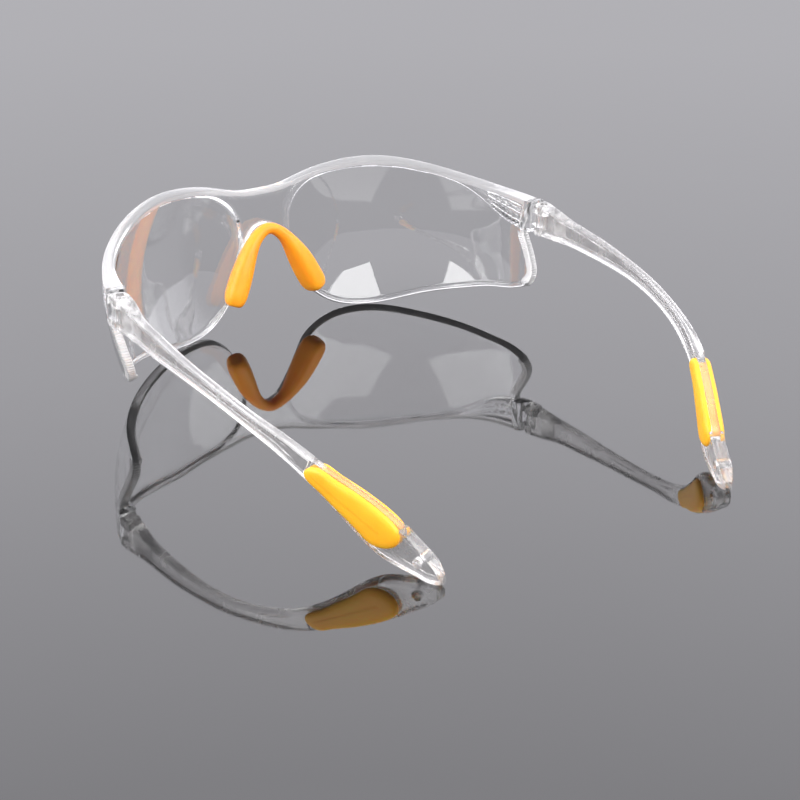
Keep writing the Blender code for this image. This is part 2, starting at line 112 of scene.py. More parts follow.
NOSE = ((0.0, 27.2, 29.3, 3.9, 3.3), (3.2, 27.0, 28.0, 4.1, 3.6), (6.1, 26.4, 25.0, 5.3, 4.3),
        (8.4, 25.7, 21.2, 6.7, 5.4), (10.4, 25.0, 17.2, 7.5, 6.3), (12.3, 24.3, 13.2, 7.7, 6.6),
        (13.5, 23.8, 10.7, 7.4, 6.3), (14.2, 23.6, 9.1, 5.9, 5.0), (14.5, 23.5, 8.4, 3.2, 2.8))

# Camera, in mm and degrees.
CAMERA_AT = (-255.66, -433.14, 222.39)
CAMERA_YAW = 33.42
CAMERA_PITCH = 25.39
CAMERA_ROLL = -0.90
CAMERA_LENS = 83.9

# Light of the studio: level against the sine of the elevation, and how much of it there is behind the glasses.
SKY = ((0.0, 0.40), (0.25, 0.43), (0.42, 0.385), (0.6, 0.30), (0.72, 0.34), (0.86, 0.5), (1.0, 0.55))
SKY_STRENGTH = 5.0
BACK_LIGHT = 0.27


# ---------------------------------------------------------------- curves and meshes

def spline_at(t, values, where):
    """A natural cubic spline through values at t, read at where."""
    t = np.asarray(t, float)
    values = np.asarray(values, float)
    h = np.diff(t)
    n = len(t)
    system = np.eye(n)
    right = np.zeros_like(values)
    for i in range(1, n - 1):
        system[i, i - 1:i + 2] = h[i - 1], 2 * (h[i - 1] + h[i]), h[i]
        right[i] = 6 * ((values[i + 1] - values[i]) / h[i] - (values[i] - values[i - 1]) / h[i - 1])
    bend = np.linalg.solve(system, right)
    k = np.clip(np.searchsorted(t, where, side="right") - 1, 0, n - 2)
    a = ((t[k + 1] - where) / h[k])[:, None]
    b = ((where - t[k]) / h[k])[:, None]
    curve = (a ** 3 - a) * bend[k] + (b ** 3 - b) * bend[k + 1]
    return a * values[k] + b * values[k + 1] + curve * (h[k] ** 2 / 6)[:, None]


def chords(knots):
    return np.concatenate([[0.0], np.cumsum(np.linalg.norm(np.diff(knots, axis=0), axis=1))])


def spline(knots, count):
    knots = np.asarray(knots, float)
    t = chords(knots)
    return spline_at(t, knots, np.linspace(0.0, t[-1], count))


def half_line(knots, share):
    """The smooth mirrored line through the knots, read on its right half at shares from 0 to 1."""
    right = np.asarray(knots, float)
    left = right[:0:-1] * np.array([-1.0, 1.0])
    whole = np.concatenate([left, right])
    t = chords(whole)
    middle = t[len(right) - 1]
    return spline_at(t, whole, middle + (t[-1] - middle) * share)


def closed_curve(points, count):
    knots = np.asarray(list(points)[-3:] + list(points) + list(points)[:4], float)
    t = chords(knots)
    return spline_at(t, knots, np.linspace(t[3], t[3 + len(points)], count, endpoint=False))


def ramp(value, low, high):
    part = np.clip((value - low) / (high - low), 0.0, 1.0)
    return part * part * (3.0 - 2.0 * part)


def link(name, mesh, materials=()):
    made = bpy.data.objects.new(name, mesh)
    bpy.context.scene.collection.objects.link(made)
    for material in materials if isinstance(materials, tuple) else (materials,):
        mesh.materials.append(material)
    return made


def mesh_object(name, points, faces, material=(), sharp=None, kinds=None):
    """A closed mesh object from points in mm of the drawing; kinds picks the material of each face."""
    points = (np.asarray(points, float) + np.array([0.0, SHIFT_Y, 0.0])) * MM
    mesh = bpy.data.meshes.new(name)
    mesh.from_pydata(points.tolist(), [], [tuple(int(i) for i in f) for f in faces])
    if kinds is not None:
        mesh.polygons.foreach_set("material_index", kinds)
    shape = bmesh.new()
    shape.from_mesh(mesh)
    bmesh.ops.remove_doubles(shape, verts=shape.verts, dist=1e-7)
    bmesh.ops.recalc_face_normals(shape, faces=shape.faces)
    shape.to_mesh(mesh)
    shape.free()
    mesh.shade_smooth()
    if sharp:
        mesh.set_sharp_from_angle(angle=math.radians(sharp))
    return link(name, mesh, material)


def combine(target, other, operation):
    """Applies a Boolean to the mesh of target and removes the other object."""
    step = target.modifiers.new("step", "BOOLEAN")
    step.operation = operation
    step.solver = "EXACT"
    step.object = other
    graph = bpy.context.evaluated_depsgraph_get()
    result = bpy.data.meshes.new_from_object(target.evaluated_get(graph))
    target.modifiers.clear()
    target.data = result
    bpy.data.objects.remove(other)


def loft(sections):
    sections = np.asarray(sections)
    count, around = sections.shape[:2]
    i = np.arange(count - 1)[:, None]
    j = np.arange(around)[None, :]
    k = (j + 1) % around
    quads = np.stack([i * around + j, i * around + k, (i + 1) * around + k, (i + 1) * around + j], axis=-1)
    faces = quads.reshape(-1, 4).tolist()
    faces.append(list(range(around)))
    faces.append(list(range((count - 1) * around, count * around))[::-1])
    return sections.reshape(-1, 3), faces


def lathe(profile, centre, around):
    turn = np.linspace(0.0, 2.0 * math.pi, around, endpoint=False)
    rings = [np.column_stack([centre[0] + radius * np.cos(turn), centre[1] + radius * np.sin(turn),
                              np.full(around, z)]) for radius, z in profile]
    return loft(rings)


def prism(outline, low, high):
    outline = np.asarray(outline, float)
    return loft([np.column_stack([outline, np.full(len(outline), z)]) for z in (low, high)])


def arc(centre, radius, start, end, count):
    turn = np.radians(np.linspace(start, end, count))
    return [(centre[0] + radius * math.cos(a), centre[1] + radius * math.sin(a)) for a in turn]


def mirrored(points, side):
    return np.asarray(points) * np.array([side, 1.0, 1.0])


# ---------------------------------------------------------------- the clear front

def lens_bulge(angle, height):
    """How far each lens domes out between its lower line and the brow."""
    turn = np.degrees(np.abs(angle))
    low = 10.5 * ramp(turn, 20.0, 92.0)
    high = 45.8 - 7.5 * ramp(turn, 30.0, 78.0)
    part = (height - low) / (high - low)
    across = ramp(turn, 4.0, 22.0) * (1.0 - ramp(turn, 28.0, 84.0))
    return LENS_BULGE * across * 4.0 * part * (1.0 - part)


def front_middle(angle, height):
    """The middle surface of the front at a plan angle in radians and a height in mm."""
    rise = height / FRONT_RISE
    bulge = 4.0 * rise * (1.0 - rise)
    sine, cosine = np.sin(angle), np.cos(angle)
    side = np.sign(sine) * np.abs(sine) ** (2.0 / PLAN_POWER)
    ahead = np.sign(cosine) * np.abs(cosine) ** (2.0 / PLAN_POWER)
    x = (HALF_WIDTH[0] + HALF_WIDTH[1] * rise + BULGE_SIDE * bulge * np.abs(sine)) * side
    y = FORWARD[0] + FORWARD[1] * rise + BULGE_FORWARD * bulge * cosine
    y = y - (DEPTH[0] + DEPTH[1] * rise) * (1.0 - ahead)
    dome = lens_bulge(angle, height) / np.hypot(0.78 * sine, cosine)
    return np.stack([x + dome * 0.78 * sine, y + dome * cosine, height + 0.0 * angle], axis=-1)


def front_normal(angle, height):
    step = 1e-3
    across = front_middle(angle + step, height) - front_middle(angle - step, height)
    upward = front_middle(angle, height + step) - front_middle(angle, height - step)
    normal = np.cross(upward, across)
    return normal / np.linalg.norm(normal, axis=-1, keepdims=True)


def on_front(line):
    line = np.asarray(line, float)
    return front_middle(np.radians(line[:, 0]), line[:, 1])


def distance_to(points, line):
    """Shortest distance of each point to a polyline."""
    best = np.full(len(points), 1e9)
    for a, b in zip(line[:-1], line[1:]):
        run = b - a
        t = np.clip((points - a) @ run / (run @ run), 0.0, 1.0)
        gap = points - (a + t[:, None] * run)
        best = np.minimum(best, np.einsum("ij,ij->i", gap, gap))
    return np.sqrt(best)


def front_sheet(share, rise_low, rise_high, middle_rows, detail):
    """Outer and inner point grids of the right half of the front."""
    low = half_line(LOWER_LINE, share)
    high = half_line(BROW_LINE, share)
    tall = high[:, 1] - low[:, 1]
    start = rise_low[-1]
    stop = tall - rise_high[0]
    spread = (np.arange(1, middle_rows + 1) / (middle_rows + 1))[None, :]
    level = np.column_stack([np.tile(rise_low, (len(share), 1)),
                             start + (stop[:, None] - start) * spread,
                             tall[:, None] - np.asarray(rise_high)[None, :]]) / tall[:, None]
    level = level[..., None]
    rear = spline(REAR_LINE, 200)
    rear_bend = rear - np.linspace(low[-1], high[-1], 200)
    along = np.linspace(0.0, 1.0, 200)
    bend = np.stack([np.interp(level[..., 0], along, rear_bend[:, 0]),
                     np.interp(level[..., 0], along, rear_bend[:, 1])], -1)
    flat = low[:, None, :] * (1 - level) + high[:, None, :] * level + share[:, None, None] * bend
    shape = flat.shape[:2]
    degrees = flat[..., 0].ravel()
    height = flat[..., 1].ravel()
    angle = np.radians(degrees)
    middle = front_middle(angle, height)
    normal = front_normal(angle, height)

    dense = np.linspace(0.0, 1.0, 260)
    low_edge = on_front(half_line(LOWER_LINE, dense))
    rear_edge = on_front(rear)
    brow_edge = on_front(half_line(BROW_LINE, dense))
    to_low = distance_to(middle, low_edge)
    to_rear = distance_to(middle, rear_edge)
    to_brow = distance_to(middle, brow_edge)

    # Signed distance to the window's edge: positive on the thick rim, brow, bridge and end-piece.
    window = np.asarray(WINDOW_EDGE, float)
    along_window = window[:, 0] + 0.12 * window[:, 1]
    window_line = spline_at(along_window, window, np.linspace(along_window[0], along_window[-1], 320))
    to_window = distance_to(middle, on_front(window_line))
    edge_height = np.interp(degrees, window_line[:, 0], window_line[:, 1], left=-50.0)
    signed = np.where(height > edge_height, to_window, -to_window)
    rim = ramp(signed, -RIM_STEP, RIM_STEP)

    depth = np.asarray(ENDPIECE_DEPTH)
    rim_height = np.interp(middle[:, 1], depth[:, 0], depth[:, 1])
    extra = rim_height * rim
    bead = 1.0 - ramp(to_low, BEAD_WIDTH - 0.35, BEAD_WIDTH + 0.25)
    extra = extra + BEAD_HEIGHT * bead * (1.0 - rim)
    lip = 0.25 * np.exp(-((signed - 0.75) / 0.45) ** 2) * ramp(degrees, 50.0, 60.0)
    extra = extra + lip

    # Three ribs fan out on the inside of the end-piece, with shallow pockets between them.
    brow_line = half_line(BROW_LINE, dense)
    top = np.interp(degrees, brow_line[:, 0], brow_line[:, 1])
    part = np.clip((height - edge_height) / np.maximum(top - edge_height, 1e-6), 0.0, 1.0)
    length = ramp(degrees, 58.0, 66.0) * (1.0 - ramp(degrees, 77.6, 78.3))
    pocket = np.zeros_like(part)
    walls = (0.06,) + RIB_LEVELS + (1.12,)
    for a, b in zip(walls[:-1], walls[1:]):
        centre = (a + b) / 2
        half = (b - a) / 2
        pocket = np.maximum(pocket, 1.0 - ramp(np.abs(part - centre), half - 0.085, half - 0.015))
    pocket = pocket * length * (signed > 0.3) * ramp(to_brow, 1.5, 2.1)
    extra = extra - POCKET_DEPTH * pocket * ramp(degrees, 60.0, 72.0)

    # A ladder of fine ribs inside the rear edge.
    ladder = ramp(to_rear, 1.1, 1.35) * (1.0 - ramp(to_rear, 2.35, 2.6)) * ramp(height, 12.2, 13.4)
    ladder = ladder * (1.0 - ramp(height, 25.6, 26.8)) * (1.0 - rim)
    extra = extra + 0.14 * ladder * np.cos(2 * math.pi * height / LADDER_PITCH) * detail
    extra = extra + 0.22 * (1.0 - ramp(to_rear, 0.8, 1.15)) * (1.0 - rim)

    # Rounded edges.
    seam = ramp(height, 28.2, 29.2) * ramp(-to_rear, -0.6, -0.3)
    near = np.minimum(to_low, np.minimum(to_rear + 10.0 * seam, to_brow))
    radius = EDGE_RADIUS
    fall = radius - np.sqrt(np.maximum(radius ** 2 - np.maximum(radius - near, 0.0) ** 2, 0.0))
    reach = 0.4 * ramp(-middle[:, 1], 0.0, 12.0) * ramp(signed, -0.3, 1.0)
    outer = middle + normal * (OUTER_SHARE + reach - fall)[:, None]
    inner = middle - normal * (WALL + extra - fall)[:, None]
    outer = outer.reshape(*shape, 3)
    inner = inner.reshape(*shape, 3)
    outer[0, :, 0] = 0.0
    inner[0, :, 0] = 0.0
    edge = np.minimum(np.minimum(to_low + 0.55, to_rear), 0.6 * to_brow)
    edge = np.minimum(edge, np.where((signed > 0.2) & (degrees > 57.0), 0.9, 9.0))
    edge = np.minimum(edge, 0.95 + 2.0 * np.maximum(np.abs(signed) - 0.55, 0.0))
    ribbed = (to_rear < 2.5) & (height > 12.5) & (height < 26.8) & (signed < 0.0)
    edge = np.where(ribbed, -9.0, edge)
    return outer, inner, edge.reshape(shape)


def shell(outer, inner):
    """Points and faces of a closed shell over two equal grids."""
    columns, rows = outer.shape[:2]
    index = np.arange(columns * rows).reshape(columns, rows)
    other = index + columns * rows
    quads = []
    for base, turn in ((index, 1), (other, -1)):
        q = np.stack([base[:-1, :-1], base[1:, :-1], base[1:, 1:], base[:-1, 1:]], axis=-1).reshape(-1, 4)
        quads.append(q[:, ::turn])
    for a, b, turn in ((index[:, 0], other[:, 0], 1), (index[:, -1], other[:, -1], -1),
                       (index[0, :], other[0, :], -1), (index[-1, :], other[-1, :], 1)):
        q = np.stack([a[:-1], b[:-1], b[1:], a[1:]], axis=-1)
        quads.append(q[:, ::turn])
    points = np.concatenate([outer.reshape(-1, 3), inner.reshape(-1, 3)])
    return points, np.concatenate(quads).tolist()


def whole(outer, inner):
    flip = np.array([-1.0, 1.0, 1.0])
    return shell(np.concatenate([(outer * flip)[:0:-1], outer]), np.concatenate([(inner * flip)[:0:-1], inner]))


def shell_kinds(edge):
    """Face kinds of the shell: 0 for the window, 1 near an edge, 2 at the edge and 3 on its ribbed strip."""
    edge = np.concatenate([edge[:0:-1], edge])
    middle = (edge[:-1, :-1] + edge[1:, :-1] + edge[1:, 1:] + edge[:-1, 1:]) / 4
    kind = np.where(middle < -5.0, 3, np.where(middle < 0.85, 2, np.where(middle < 1.4, 1, 0))).ravel()
    columns = len(edge)
    low, brow = np.full(columns - 1, 2), np.full(columns - 1, 2)
    rear = np.where(edge[0, :-1] < -5.0, 3, 2)
    return np.concatenate([kind, kind, low, brow, rear, rear]).astype(int)


def fine_shares():
    a = np.linspace(0.0, 0.93, 185)
    b = 0.93 + 0.07 * (1.0 - (1.0 - np.linspace(0.0, 1.0, 44)[1:]) ** 1.5)
    return np.concatenate([a, b])


def rounded_block(outline, low, high, soft_low, soft_high):
    """A block on a plan outline with softened lower and upper edges; the outline may differ at the two ends."""
    turn = np.linspace(0.0, math.pi / 2, 5)
    levels = [(low + soft_low * (1 - math.cos(a)), soft_low * (1 - math.sin(a))) for a in turn]
    levels += [(high - soft_high * (1 - math.cos(a)), soft_high * (1 - math.sin(a))) for a in turn[::-1]]
    rings = []
    for z, inset in levels:
        share = (z - low) / (high - low)
        plan = [(x, y0 + (y1 - y0) * share) for x, y0, y1 in outline]
        rings.append([(x, y, z) for x, y in shrunk(plan, inset)])
    return loft(np.array(rings))


def build_front(clear):
    low = np.array([0.0, 0.06, 0.15, 0.3, 0.5, 0.75, 1.0, 1.25, 1.55, 1.9])
    high = np.array([2.9, 2.6, 2.3, 2.0, 1.7, 1.4, 1.1, 0.8, 0.5, 0.3, 0.15, 0.06, 0.0])
    outer, inner, edge = front_sheet(fine_shares(), low, high, 72, 1.0)
    points, faces = whole(outer, inner)
    front = mesh_object("front_clear", points, faces, clear, kinds=shell_kinds(edge))
    for side in (1, -1):
        outline = arc((HINGE_X, HINGE_Y), KNUCKLE_RADIUS, 180, 360, 25)
        outline += [(HINGE_X + WEB_OUT, HINGE_Y + 1.6), (HINGE_X + WEB_OUT, SEAM_Y + 1.2),
                    (HINGE_X - WEB_IN, SEAM_Y + 1.2), (HINGE_X - WEB_IN, HINGE_Y + 1.2)]
        web, faces = prism(outline, *KNUCKLE_Z)
        knuckle = mesh_object("web", mirrored(web, side), faces, clear, kinds=[1] * len(faces))
        bore, faces = lathe(((PIN_RADIUS + GAP, 20.0), (PIN_RADIUS + GAP, 45.0)), (HINGE_X, HINGE_Y), 32)
        bore = mesh_object("bore", mirrored(bore, side), faces, clear, kinds=[1] * len(faces))
        combine(knuckle, bore, "DIFFERENCE")
        combine(front, knuckle, "UNION")
        block, faces = rounded_block(END_BLOCK, *END_BLOCK_Z)
        block = mesh_object("block", mirrored(block, side), faces, clear, kinds=[1] * len(faces))
        combine(front, block, "UNION")
    front.data.shade_smooth()
    front.data.set_sharp_from_angle(angle=math.radians(50))
    return front


# ---------------------------------------------------------------- temples, grips, pins

def temple_table(where):
    table = np.asarray(TEMPLE, float)
    t = -table[:, 0]
    where = np.asarray(where, float)
    rows = spline_at(t, table[:, 1:], -where)
    step = 0.05
    front = np.clip(where + step, table[-1, 0], table[0, 0])
    back = np.clip(where - step, table[-1, 0], table[0, 0])
    x_front = spline_at(t, table[:, 1:2], -front)[:, 0]
    x_back = spline_at(t, table[:, 1:2], -back)[:, 0]
    run = np.column_stack([x_back - x_front, back - front])
    run = run / np.linalg.norm(run, axis=1, keepdims=True)
    outward = np.column_stack([-run[:, 1], run[:, 0]])
    return rows, outward


def temple_ring(x, y, bottom, top, thick, out, channel):
    half = thick / 2
    tall = top - bottom
    lower = min(LOWER_RIM, 0.34 * tall)
    upper = min(UPPER_RIM, 0.26 * tall)
    round_low = min(half * 0.98, 0.9 * lower, 0.48 * tall)
    round_top = min(0.55, 0.4 * half, 0.45 * tall)
    turn = np.linspace(0.0, math.pi / 2, 7)
    low_z = bottom + round_low * (1 - np.cos(turn))
    low_n = half - round_low + round_low * np.sin(turn)
    top_turn = np.linspace(math.pi / 2, 0.0, 5)
    top_z = top - round_top * (1 - np.cos(top_turn))
    top_n = half - round_top + round_top * np.sin(top_turn)
    share = np.linspace(0.0, 1.0, 17)[1:-1]
    mid_z = low_z[-1] + (top_z[0] - low_z[-1]) * share
    mid_n = np.full(len(share), half)
    z = np.concatenate([low_z, mid_z, top_z])
    n = np.concatenate([low_n, mid_n, top_n])
    dip = ramp(z, bottom + lower - 0.3, bottom + lower + 0.35)
    dip = dip * (1 - ramp(z, top - upper - 0.35, top - upper + 0.2))
    n = n - channel * dip
    ring = [(x + out[0] * a, y + out[1] * a, b) for a, b in zip(n, z)]
    ring += [(x - out[0] * a, y - out[1] * a, b) for a, b in zip(n[::-1], z[::-1])]
    return ring


def temple_skin():
    stations = np.concatenate([np.linspace(-17.0, -34.0, 52), np.linspace(-34.5, -92.0, 110),
                               np.linspace(-92.5, -128.0, 90), np.linspace(-128.2, -131.0, 14)])
    rows, outward = temple_table(stations)
    rings = []
    for y, (x, bottom, top, thick), out in zip(stations, rows, outward):
        channel = CHANNEL_DEPTH * float(ramp(-y, 23.5, 28.0) * (1 - ramp(-y, 88.0, 96.0)))
        paddle = 0.3 * float(ramp(-y, 99.0, 103.0) * (1 - ramp(-y, 126.0, 129.0)))
        rings.append(temple_ring(x, y, bottom, top, thick, out, channel + paddle))
    return loft(np.array(rings))


def along_temple(outline, depth):
    outline = np.asarray(outline, float)
    rows, outward = temple_table(outline[:, 0])
    return [np.column_stack([rows[:, 0] + outward[:, 0] * d, outline[:, 0] + outward[:, 1] * d, outline[:, 1]])
            for d in depth]


def shrunk(outline, by):
    outline = np.asarray(outline, float)
    run = np.roll(outline, -1, axis=0) - np.roll(outline, 1, axis=0)
    run = run / np.linalg.norm(run, axis=1, keepdims=True)
    inward = np.column_stack([-run[:, 1], run[:, 0]])
    area = np.sum(outline[:, 0] * np.roll(outline[:, 1], -1) - np.roll(outline[:, 0], -1) * outline[:, 1])
    return outline + inward * by * np.sign(area)


def build_temple(name, side, clear):
    points, faces = temple_skin()
    temple = mesh_object(name, mirrored(points, side), faces, clear)
    centre = (HINGE_X, HINGE_Y)
    low, high = FORK_Z[0] - 0.05, FORK_Z[1] + 0.05
    r = 0.7
    turn = np.linspace(0.0, math.pi / 2, 6)
    profile = [(KNUCKLE_RADIUS - r + r * math.sin(a), low + r - r * math.cos(a)) for a in turn]
    profile += [(KNUCKLE_RADIUS - r + r * math.cos(a), high - r + r * math.sin(a)) for a in turn]
    barrel, faces = lathe(profile, centre, 48)
    combine(temple, mesh_object("barrel", mirrored(barrel, side), faces, clear), "UNION")
    corner = [(x, y, y) for x, y in ((HINGE_X - 0.2, HINGE_Y - 1.0), (HINGE_X + KNUCKLE_RADIUS, HINGE_Y - 1.0),
                                     (HINGE_X + KNUCKLE_RADIUS, SEAM_Y - 0.35), (HINGE_X - 0.2, SEAM_Y - 0.35))]
    block, faces = rounded_block(corner, FORK_Z[0] + 0.05, FORK_Z[1] - 0.05, 0.8, 0.4)
    combine(temple, mesh_object("corner", mirrored(block, side), faces, clear), "UNION")
    slot_radius = KNUCKLE_RADIUS + 2.8 * GAP
    slot = arc(centre, slot_radius, 180, 360, 25)
    slot += [(HINGE_X + slot_radius, -10.0), (HINGE_X - slot_radius, -10.0)]
    cut, faces = prism(slot, KNUCKLE_Z[0] - GAP, KNUCKLE_Z[1] + GAP)
    combine(temple, mesh_object("slot", mirrored(cut, side), faces, clear), "DIFFERENCE")
    bore, faces = lathe(((PIN_RADIUS + GAP, 20.0), (PIN_RADIUS + GAP, 45.0)), centre, 32)
    combine(temple, mesh_object("bore", mirrored(bore, side), faces, clear), "DIFFERENCE")
    window = shrunk(closed_curve(GRIP, 72), -0.15)
    cut, faces = loft(along_temple(window, (-6.0, 6.0)))
    combine(temple, mesh_object("window", mirrored(cut, side), faces, clear), "DIFFERENCE")
    seat = shrunk(pad_outline(), -0.15)
    a, b = np.array(GRIP_SPINE[0]), np.array(GRIP_SPINE[1])
    across = (seat - a) @ np.array([b[1] - a[1], a[0] - b[0]]) / np.linalg.norm(b - a)
    seat[:, 1] = seat[:, 1] + 4.0 * ramp(across, 0.1, 1.6)
    for depth in ((GRIP_WEB / 2, 6.0), (-6.0, -GRIP_WEB / 2)):
        cut, faces = loft(along_temple(seat, depth))
        combine(temple, mesh_object("seat", mirrored(cut, side), faces, clear), "DIFFERENCE")
    y, z, radius = LANYARD_HOLE
    hole = [(y + radius * math.cos(a), z + radius * math.sin(a)) for a in np.linspace(0, 2 * math.pi, 33)[:-1]]
    cut, faces = loft(along_temple(hole, (-6.0, 6.0)))
    combine(temple, mesh_object("hole", mirrored(cut, side), faces, clear), "DIFFERENCE")
    temple.data.shade_smooth()
    temple.data.set_sharp_from_angle(angle=math.radians(35))
    return temple


def pad_outline():
    """Outline of the proud part of a grip, a little larger than the window it goes through."""
    pad = shrunk(closed_curve(GRIP, 120), -0.75)
    pad[:, 1] = pad[:, 1] + 0.2
    return pad


def on_temple(outline, depth):
    place, outward = temple_table(outline[:, 0])
    plan = np.column_stack([place[:, 0], outline[:, 0]]) + outward * np.reshape(depth, (-1, 1))
    return np.column_stack([plan, outline[:, 1]])


def build_grip(name, side, soft):
    """A soft grip: a core through the window of the temple, and a domed pad on each face."""
    core = closed_curve(GRIP, 120)
    pad = pad_outline()
    a, b = np.array(GRIP_SPINE[0]), np.array(GRIP_SPINE[1])
    share = np.clip((pad - a) @ (b - a) / ((b - a) @ (b - a)), 0.0, 1.0)
    spine = a + share[:, None] * (b - a)
    half = temple_table(pad[:, 0])[0][:, 3] / 2
    base = GRIP_WEB / 2 + 0.06
    face = []
    back = []
    for k in (0.03, 0.12, 0.25, 0.38, 0.5, 0.6, 0.69, 0.77, 0.83, 0.88, 0.92, 0.95, 0.975, 0.99, 1.0):
        rise = base + (half + GRIP_PROUD - base) * (1.0 - k ** 3.0) ** (1 / 3.0)
        face.append(on_temple(spine + (pad - spine) * k, rise))
        back.insert(0, on_temple(spine + (pad - spine) * k, -rise))
    rings = face + [on_temple(core, np.full(len(core), depth)) for depth in (base, -base)] + back
    points, faces = loft(np.array(rings))
    return mesh_object(name, mirrored(points, side), faces, soft, 50)


def build_pin(name, side, clear):
    low, high = FORK_Z[0] + 0.35, FORK_Z[1] - 0.3
    profile = [(0.25, low), (PIN_RADIUS - 0.25, low), (PIN_RADIUS - 0.05, low + 0.12), (PIN_RADIUS, low + 0.3)]
    profile += [(PIN_RADIUS, high - 0.35), (PIN_RADIUS - 0.06, high - 0.15), (PIN_RADIUS - 0.25, high - 0.03),
                (0.3, high)]
    points, faces = lathe(profile, (HINGE_X, HINGE_Y), 32)
    return mesh_object(name, mirrored(points, side), faces, clear, 60)


# ---------------------------------------------------------------- nose pad

def nose_rings(count, around):
    right = np.asarray(NOSE, float)
    left = right[:0:-1] * np.array([-1.0, 1.0, 1.0, 1.0, 1.0])
    path = spline(np.concatenate([left, right]), count)
    turn = np.linspace(0.0, 2.0 * math.pi, around, endpoint=False)
    rings = []
    for i, (x, y, z, width, thick) in enumerate(path):
        run = path[min(i + 1, count - 1), :3] - path[max(i - 1, 0), :3]
        run = run / np.linalg.norm(run)
        splay = np.clip(x / 9.0, -1.0, 1.0) * 0.42
        back = np.array([splay, -1.0, 0.0])
        back = back - run * np.dot(back, run)
        back = back / np.linalg.norm(back)
        out = np.cross(run, back)
        square = 0.92 - 0.2 * float(ramp(abs(x), 5.0, 10.0))
        c = np.sign(np.cos(turn)) * np.abs(np.cos(turn)) ** square
        s = np.sign(np.sin(turn)) * np.abs(np.sin(turn)) ** square
        rings.append(np.array([x, y, z]) + np.outer(c, back) * width / 2 + np.outer(s, out) * thick / 2)
    return rings


def build_nose_pad(soft):
    points, faces = loft(nose_rings(150, 44))
    pad = mesh_object("nose_soft", points, faces, soft)
    share = np.linspace(0.0, 0.42, 60)
    low, high = np.array([0.0, 0.4, 1.0, 1.9]), np.array([2.9, 1.5, 0.5, 0.0])
    outer, inner, _ = front_sheet(share, low, high, 24, 0.0)
    push = outer - inner
    push = push / np.linalg.norm(push, axis=-1, keepdims=True)
    points, faces = whole(outer + push * GAP, inner - push * GAP)
    combine(pad, mesh_object("groove", points, faces, soft), "DIFFERENCE")
    pad.data.shade_smooth()
    pad.data.set_sharp_from_angle(angle=math.radians(45))
    return pad


# ---------------------------------------------------------------- materials

class Nodes:
    """A small helper to build a node tree."""

    def __init__(self, name):
        self.material = bpy.data.materials.new(name)
        self.material.use_nodes = True
        self.tree = self.material.node_tree
        self.tree.nodes.clear()
        self.place = None

    def add(self, kind, values=None, **settings):
        node = self.tree.nodes.new(kind)
        for key, value in settings.items():
            setattr(node, key, value)
        for key, value in (values or {}).items():
            if isinstance(value, bpy.types.NodeSocket):
                self.tree.links.new(value, node.inputs[key])
            else:
                node.inputs[key].default_value = value
        return node

    def where(self):
        if self.place is None:
            self.place = self.add("ShaderNodeTexCoord").outputs["Object"]
        return self.place

    def noise(self, scale, detail=3.0, rough=0.5):
        return self.add("ShaderNodeTexNoise", {"Vector": self.where(), "Scale": scale, "Detail": detail,
                                               "Roughness": rough}).outputs["Fac"]

    def spread(self, value, low, high, start=0.0, end=1.0):
        return self.add("ShaderNodeMapRange", {"Value": value, "From Min": start, "From Max": end,
                                               "To Min": low, "To Max": high}).outputs["Result"]

    def bump(self, height, distance, strength=1.0, normal=None):
        values = {"Height": height, "Distance": distance, "Strength": strength}
        if normal is not None:
            values["Normal"] = normal
        return self.add("ShaderNodeBump", values).outputs["Normal"]


def clear_plastic(name, tint, haze, waviness, see=0.88, milk=0.0, ribs=0.0):
    """Clear moulded plastic: smooth, with faint waviness, uneven haze and, where milk is set, cloudiness."""
    m = Nodes(name)
    flow = m.noise(55.0, 2.0, 0.45)
    fine = m.noise(1500.0, 3.0, 0.6)
    rough = m.spread(m.noise(160.0, 3.0), haze * 0.6, haze * 1.4, 0.3, 0.7)
    normal = m.bump(flow, 0.0003 * waviness, 0.3)
    normal = m.bump(fine, 0.000015 * waviness, 0.25, normal)
    if ribs:
        rise = m.add("ShaderNodeSeparateXYZ", {"Vector": m.where()}).outputs["Z"]
        pitch = 2 * math.pi / (LADDER_PITCH * MM)
        turn = m.add("ShaderNodeMath", {0: rise, 1: pitch}, operation="MULTIPLY").outputs[0]
        wave = m.add("ShaderNodeMath", {0: turn}, operation="SINE").outputs[0]
        normal = m.bump(m.spread(wave, 0.0, 1.0, -1.0, 1.0), ribs * MM, 1.0, normal)
    shade = m.spread(m.noise(30.0, 2.0), 0.0, 1.0, 0.3, 0.7)
    dim = tuple(c * 0.985 for c in tint)
    colour = m.add("ShaderNodeMix", {"Factor": shade, "A": (*dim, 1.0), "B": (*tint, 1.0)},
                   data_type="RGBA").outputs["Result"]
    body = m.add("ShaderNodeBsdfPrincipled", {"Base Color": colour, "Roughness": rough, "IOR": 1.585,
                                              "Transmission Weight": 1.0 - milk,
                                              "Subsurface Weight": min(1.0, milk * 9),
                                              "Subsurface Scale": 0.002, "Subsurface Radius": (1.0, 1.0, 1.0),
                                              "Normal": normal}).outputs["BSDF"]
    lamp = m.add("ShaderNodeBsdfTransparent", {"Color": (see, see, see, 1.0)}).outputs["BSDF"]
    path = m.add("ShaderNodeLightPath").outputs["Is Shadow Ray"]
    mixed = m.add("ShaderNodeMixShader", {0: path, 1: body, 2: lamp}).outputs["Shader"]
    m.add("ShaderNodeOutputMaterial", {"Surface": mixed})
    return m.material


